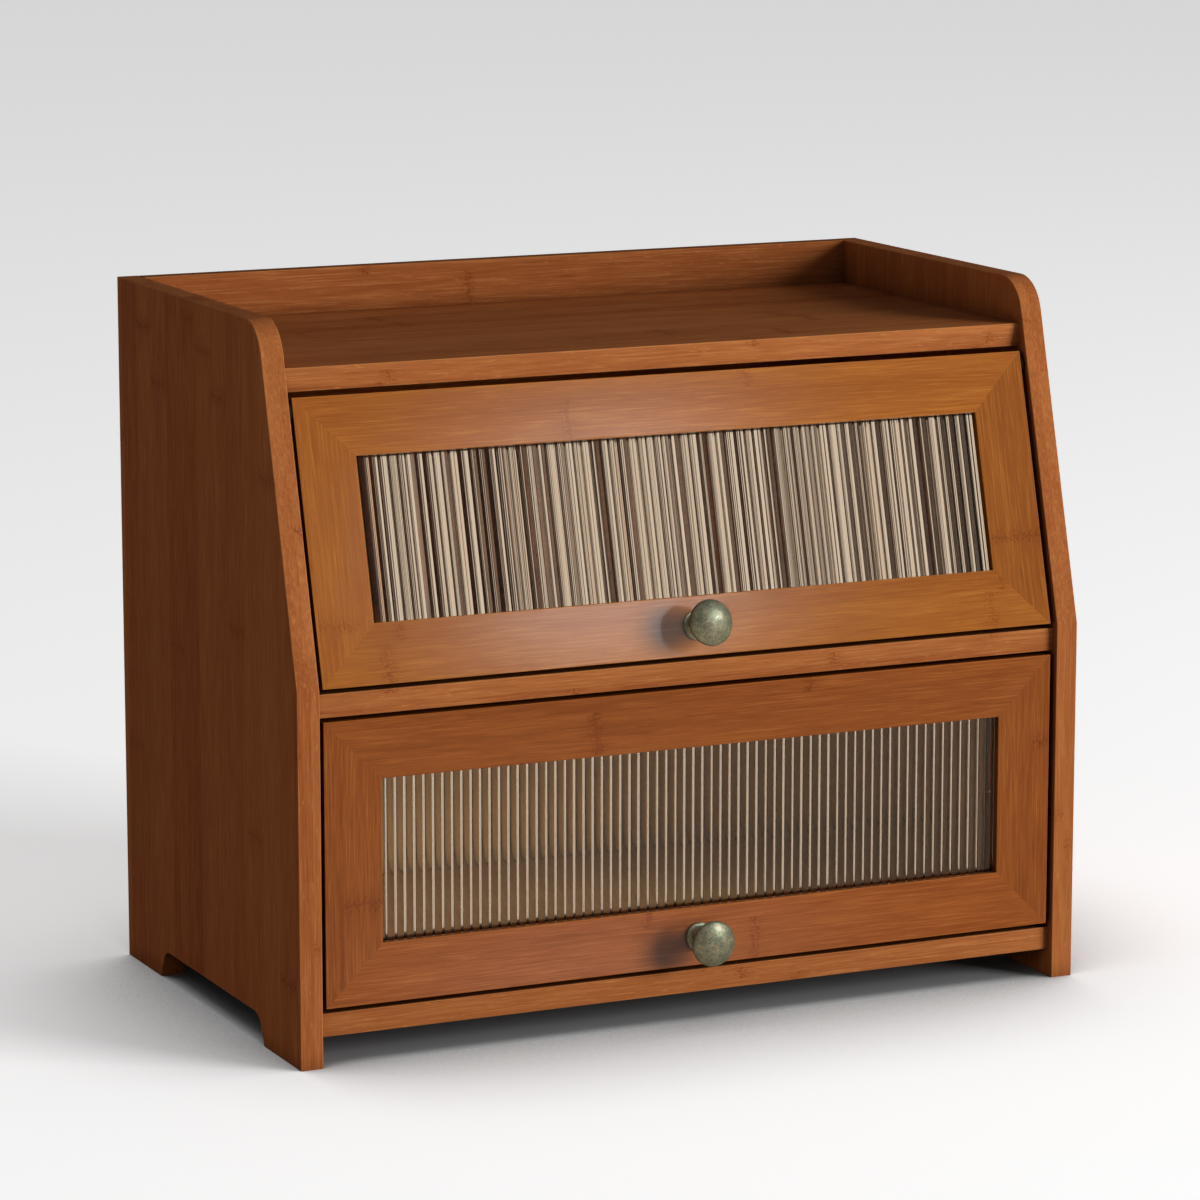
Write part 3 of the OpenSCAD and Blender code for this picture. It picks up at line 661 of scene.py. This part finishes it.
# %% Side panels
def through_faces(bm):
    """The faces that run from one side of a panel to the other."""
    xs = [v.co.x for v in bm.verts]
    low, high = min(xs), max(xs)
    found = set()
    for face in bm.faces:
        face_xs = [v.co.x for v in face.verts]
        if min(face_xs) < low + WELD and max(face_xs) > high - WELD:
            found.add(face)
    return found


for seed, side in enumerate(("left", "right"), start=60):
    name = f"side_panel_{side}"
    bm = welded(name, UPRIGHT)
    rim = through_faces(bm)
    outline = [e for e in bm.edges if len(set(e.link_faces) & rim) == 1]
    bevel_arrises(bm, outline)
    board = add_board(name, "ZY", "case", seed, 1.0, UPRIGHT, bm)
    print(name, len(outline), "edges eased,", len(board.data.polygons), "faces")

# %% [markdown]
# ## Ribbed glass
#
# The panes are cast glass, smooth in front, with upright ribs on the inner face. Through the crown
# of a rib the eye sees the inside of the box. On its steep flank the light can't get out of the
# glass and turns back to the room, and that is the thin bright line on each rib. Only real ribs do
# that, so the outline is made point by point and drawn out upwards. The drawer's pane has round,
# even ribs. The upper pane is a rougher cast: its ribs lean over like saw teeth and vary in width,
# so they turn back more light, in fine lines of which no two are alike. Shadow rays go straight
# through a pane and lose a quarter of their light, because a lamp can't be found through bent glass.

# %% Glass finish
GLASS_SHADOW = (0.76, 0.76, 0.74, 1)


def clear_glass():
    material, tree = new_material("clear_glass")
    shader = node(tree, "BsdfPrincipled", {
        "Base Color": (1, 0.93, 0.86, 1), "Roughness": 0.0, "IOR": 1.5, "Transmission Weight": 1.0})
    gap = node(tree, "BsdfTransparent", {"Color": GLASS_SHADOW})
    shadow = node(tree, "LightPath").outputs["Is Shadow Ray"]
    both = node(tree, "MixShader", {0: shadow, 1: shader.outputs[0], 2: gap.outputs[0]})
    node(tree, "OutputMaterial", {"Surface": both.outputs[0]})
    return material


GLASS = clear_glass()

# %% Two kinds of rib
RIB_W = 4.7 * MM
RIB_STEPS = 24
RIB_H = (1.40 * MM, 1.50 * MM)
RISE = (23.5, 31)           # slope of a lopsided rib's slow side, in degrees
FALL = (53, 64)             # and of its steep side
RIPPLES = (4, 6)            # on one rib
RIPPLE_SLOPE = (0.08, 0.18)


def round_rib(width, dice):
    """Points (across, height) of an arc over a rib, without its first point."""
    high = dice.uniform(*RIB_H)
    r = (width ** 2 / 4 + high ** 2) / (2 * high)
    reach = math.asin(width / 2 / r)
    turns = [reach * (2 * step / RIB_STEPS - 1) for step in range(1, RIB_STEPS + 1)]
    return [(width / 2 + r * math.sin(a), high - r * (1 - math.cos(a))) for a in turns]


def lopsided_rib(width, dice):
    """Points of a rib that rises slowly from the left and falls steeply, with faint ripples."""
    rise = math.tan(math.radians(dice.uniform(*RISE)))
    fall = math.tan(math.radians(dice.uniform(*FALL)))
    ripples = dice.uniform(*RIPPLES) * 2 * math.pi / width
    depth = dice.uniform(*RIPPLE_SLOPE) / ripples
    points = []
    for step in range(1, RIB_STEPS + 1):
        across = width * step / RIB_STEPS
        calm = math.sin(math.pi * across / width)
        flanks = min(across * rise, (width - across) * fall)
        points.append((across, flanks + depth * calm * math.sin(ripples * across)))
    return points


# %% Ribbed panes
RIB_SEED = 7
UNEVEN = {"flap": 0.4, "drawer": 0.04}      # how much the ribs of a pane differ in width


def rib_outline(width, rib, uneven):
    """Points (across, height) of the ribs on the inner face, from left to right."""
    dice = random.Random(RIB_SEED)
    count = round(width / RIB_W)
    shares = [1 + uneven * dice.uniform(-0.5, 0.5) for _ in range(count)]
    scale = width / sum(shares)
    left = -width / 2
    points = [(left, 0.0)]
    for share in shares:
        points += [(left + across, high) for across, high in rib(share * scale, dice)]
        left += share * scale
    return points


def pane_mesh(name, low, high, outline):
    """Draws the outline out upwards, from the box's lowest to its highest corner."""
    bm = bmesh.new()
    crown = max(rise for x, rise in outline)
    ribs = [(x, high.y - crown + rise) for x, rise in reversed(outline)]
    ring = [(low.x, low.y), (high.x, low.y)] + ribs
    bottom, top = ([bm.verts.new((x, y, z)) for x, y in ring] for z in (low.z, high.z))
    for i in range(len(ring)):
        k = (i + 1) % len(ring)
        bm.faces.new((bottom[i], bottom[k], top[k], top[i]))
    bm.faces.new(list(reversed(bottom)))
    bm.faces.new(top)
    return to_mesh(bm, name, sharp=40)


def box_in(node_name, place):
    """A node's lowest and highest corner in the axes of place."""
    back = place.inverted()
    corners = [back @ v.co for v in frame["nodes"][node_name].data.vertices]
    low = Vector([min(c[i] for c in corners) for i in range(3)])
    high = Vector([max(c[i] for c in corners) for i in range(3)])
    return low, high


for front, place, rib in (("flap", LEANING, lopsided_rib), ("drawer", UPRIGHT, round_rib)):
    low, high = box_in(f"{front}_glass", place)
    outline = rib_outline(high.x - low.x, rib, UNEVEN[front])
    mesh = pane_mesh(f"{front}_pane", low, high, outline)
    add_piece(f"{front}_pane", mesh, GLASS, f"{front}_glass", place)
    print(front, "pane", [round(s / MM, 1) for s in high - low], "mm")

# %% [markdown]
# ## Knobs
#
# The knobs are cast in pewter and turned, then darkened with an acid until they go grey green in
# clouds, with finer mottles and dark pits. Three sizes of noise in one node group give all three,
# and the steel and nylon pieces use the same group with fainter colours.

# %% Patina group
def patina_group():
    tree, given, out = new_group(
        "Patina", [("Vector", "Vector", None)], ["Cloud", "Mottle", "Pits"])
    for label, scale, detail in (("Cloud", 260, 4.0), ("Mottle", 700, 5.0), ("Pits", 1900, 2.0)):
        noise = node(tree, "TexNoise", {
            "Vector": given["Vector"], "Scale": scale, "Detail": detail, "Roughness": 0.6})
        plug(tree, noise.outputs[0], out[label])
    return tree


PATINA = patina_group()


def patina(tree):
    """The outputs of the patina group at each point of a piece."""
    spots = node(tree, "Group", node_tree=PATINA)
    plug(tree, node(tree, "TexCoord").outputs["Object"], spots.inputs["Vector"])
    return spots.outputs


# %% Pewter
def pewter():
    material, tree = new_material("aged_pewter")
    seen = patina(tree)
    cloud = ramp(tree, seen["Cloud"], 0.36, 0.64)
    colour = mix(tree, cloud, linear(138, 142, 118), linear(182, 174, 150))
    colour = mix(tree, ramp(tree, seen["Mottle"], 0.42, 0.62, 0.0, 0.5), colour, linear(130, 150, 124))
    colour = mix(tree, ramp(tree, seen["Pits"], 0.50, 0.66, 0.0, 0.75), colour, linear(72, 66, 50))
    rough = ramp(tree, seen["Mottle"], 0.3, 0.7, 0.36, 0.50)
    bump = node(tree, "Bump", {"Height": seen["Mottle"], "Distance": 0.2 * MM, "Strength": 0.6})
    shader = node(tree, "BsdfPrincipled", {
        "Base Color": colour, "Metallic": 0.75, "Roughness": rough, "Normal": bump.outputs[0]})
    node(tree, "OutputMaterial", {"Surface": shader.outputs[0]})
    return material


# %% [markdown]
# ## Turning the knobs
#
# What a lathe makes is a profile spun round an axis. The profile goes from the flared foot in to a
# narrow neck and out to the domed head. Each of its points draws a ring, and faces join every ring
# to the next. `bmesh.ops.spin` does this too, but its faces come in another order on every run, and
# a script is easier to check when each run gives the very same mesh.

# %% Knob profile
KNOB = {"head_r": 10.75 * MM, "foot_r": 6.7 * MM, "neck_r": 3.8 * MM, "length": 21 * MM,
        "crown": 4.2 * MM, "foot_t": 1.4 * MM, "ease": 0.6 * MM}
NECK_AT = 0.42              # share of the way from the foot to the head
TURN_STEPS = 96
QUARTER_STEPS = 10
DOME_STEPS = 14


def quarter(start, end, bulge_first):
    """A quarter of an ellipse from start to end, leaving start along the axis or across it."""
    points = []
    for i in range(1, QUARTER_STEPS + 1):
        a = math.pi / 2 * i / QUARTER_STEPS
        if bulge_first:
            points.append((end[0] + (start[0] - end[0]) * math.cos(a),
                           start[1] + (end[1] - start[1]) * math.sin(a)))
        else:
            points.append((start[0] + (end[0] - start[0]) * math.sin(a),
                           end[1] + (start[1] - end[1]) * math.cos(a)))
    return points


def knob_profile():
    """Points (radius, distance from the front) from the foot's middle to the crown."""
    k = KNOB
    head_z = k["length"] - k["crown"]
    foot = (k["foot_r"], k["foot_t"])
    neck = (k["neck_r"], NECK_AT * head_z)
    under = (k["head_r"] - k["ease"], head_z - 3 * k["ease"])
    rim = [(k["head_r"], head_z - 1.6 * k["ease"]), (k["head_r"], head_z - 0.4 * k["ease"])]
    dome_r = (k["head_r"] ** 2 + k["crown"] ** 2) / (2 * k["crown"])
    sweep = math.asin((k["head_r"] - 0.35 * k["ease"]) / dome_r)
    turns = [sweep * (1 - i / DOME_STEPS) for i in range(DOME_STEPS + 1)]
    dome = [(dome_r * math.sin(a), k["length"] - dome_r * (1 - math.cos(a))) for a in turns]
    points = [(0, 0), (k["foot_r"] - k["ease"], 0), (k["foot_r"], k["ease"]), foot]
    return points + quarter(foot, neck, False) + quarter(neck, under, True) + rim + dome


# %% Turned knobs
def ring(bm, r, z):
    """The corners that a point of the profile draws, or just one where it is on the axis."""
    count = TURN_STEPS if r > 0 else 1
    turns = [2 * math.pi * i / count for i in range(count)]
    return [bm.verts.new((r * math.cos(a), -z, r * math.sin(a))) for a in turns]


def turned(name, profile):
    """Joins each ring to the next, with triangles where one of them is a single corner."""
    bm = bmesh.new()
    rings = [ring(bm, r, z) for r, z in profile]
    for near, far in zip(rings, rings[1:]):
        for i in range(TURN_STEPS):
            k = i + 1
            corners = (
                near[i % len(near)], near[k % len(near)], far[k % len(far)], far[i % len(far)])
            bm.faces.new(list(dict.fromkeys(corners)))
    return to_mesh(bm, name, sharp=50)


PEWTER = pewter()
for front, place in (("flap", LEANING), ("drawer", UPRIGHT)):
    low, high = box_in(f"{front}_knob", place)
    seat = place @ Matrix.Translation(((low.x + high.x) / 2, high.y, (low.z + high.z) / 2))
    mesh = turned(f"{front}_knob_turned", knob_profile())
    knob = add_piece(f"{front}_knob_turned", mesh, PEWTER, f"{front}_knob", seat)
    pewter_pieces.objects.link(knob)
    print(front, "knob", round((high.x - low.x) / MM, 1), "mm across")

# %% [markdown]
# ## Screws, pins, magnets and bushes
#
# The fasteners have their true shape already, so they keep their meshes and get a better finish:
# dull zinc plating for the screws and brads, brighter nickel for the pins, magnets and discs, and
# dark brown nylon for the bushes and washers. The dowels are plain wood.

# %% Metal and nylon
def metal(name, base, worn, rough):
    material, tree = new_material(name)
    seen = patina(tree)
    colour = mix(tree, ramp(tree, seen["Mottle"], 0.4, 0.7), base, worn)
    spread = ramp(tree, seen["Pits"], 0.3, 0.7, rough, rough + 0.15)
    bump = node(tree, "Bump", {"Height": seen["Pits"], "Distance": 0.02 * MM, "Strength": 0.4})
    shader = node(tree, "BsdfPrincipled", {
        "Base Color": colour, "Metallic": 1.0, "Roughness": spread, "Normal": bump.outputs[0]})
    node(tree, "OutputMaterial", {"Surface": shader.outputs[0]})
    return material


def nylon():
    material, tree = new_material("dark_nylon")
    seen = patina(tree)
    colour = mix(tree, seen["Cloud"], linear(30, 22, 16), linear(42, 32, 24))
    rough = ramp(tree, seen["Mottle"], 0.3, 0.7, 0.65, 0.8)
    shader = node(tree, "BsdfPrincipled", {
        "Base Color": colour, "Roughness": rough, "Specular IOR Level": 0.1})
    node(tree, "OutputMaterial", {"Surface": shader.outputs[0]})
    return material


ZINC = metal("zinc_plated_steel", linear(196, 194, 186), linear(168, 164, 150), 0.28)
NICKEL = metal("nickel_plate", linear(214, 210, 202), linear(190, 186, 178), 0.18)
NYLON = nylon()

# %% Finishing the fasteners
# material, slot, and words in the names of the pieces that get them
FASTENERS = [
    (ZINC, "steel", ["screw", "brads"]),
    (NICKEL, "steel", ["magnet", "strike_plate_left", "strike_plate_right", "pin_"]),
    (NYLON, "nylon", ["bush", "washer"]),
    (WOODS["plain", "XY"], "plain_wood", ["case_dowels"]),
    (WOODS["plain", "YZ"], "plain_wood", ["drawer_dowels"]),
]


def finish_node(piece, material):
    """Gives a piece of the frame its material, and leaves its shape alone."""
    piece.data.materials.clear()
    piece.data.materials.append(material)


for material, slot, words in FASTENERS:
    done = [name for name in frame["nodes"] if any(word in name for word in words)]
    for name in done:
        finish_node(frame["nodes"][name], material)
    print(material.name, len(done), "nodes")
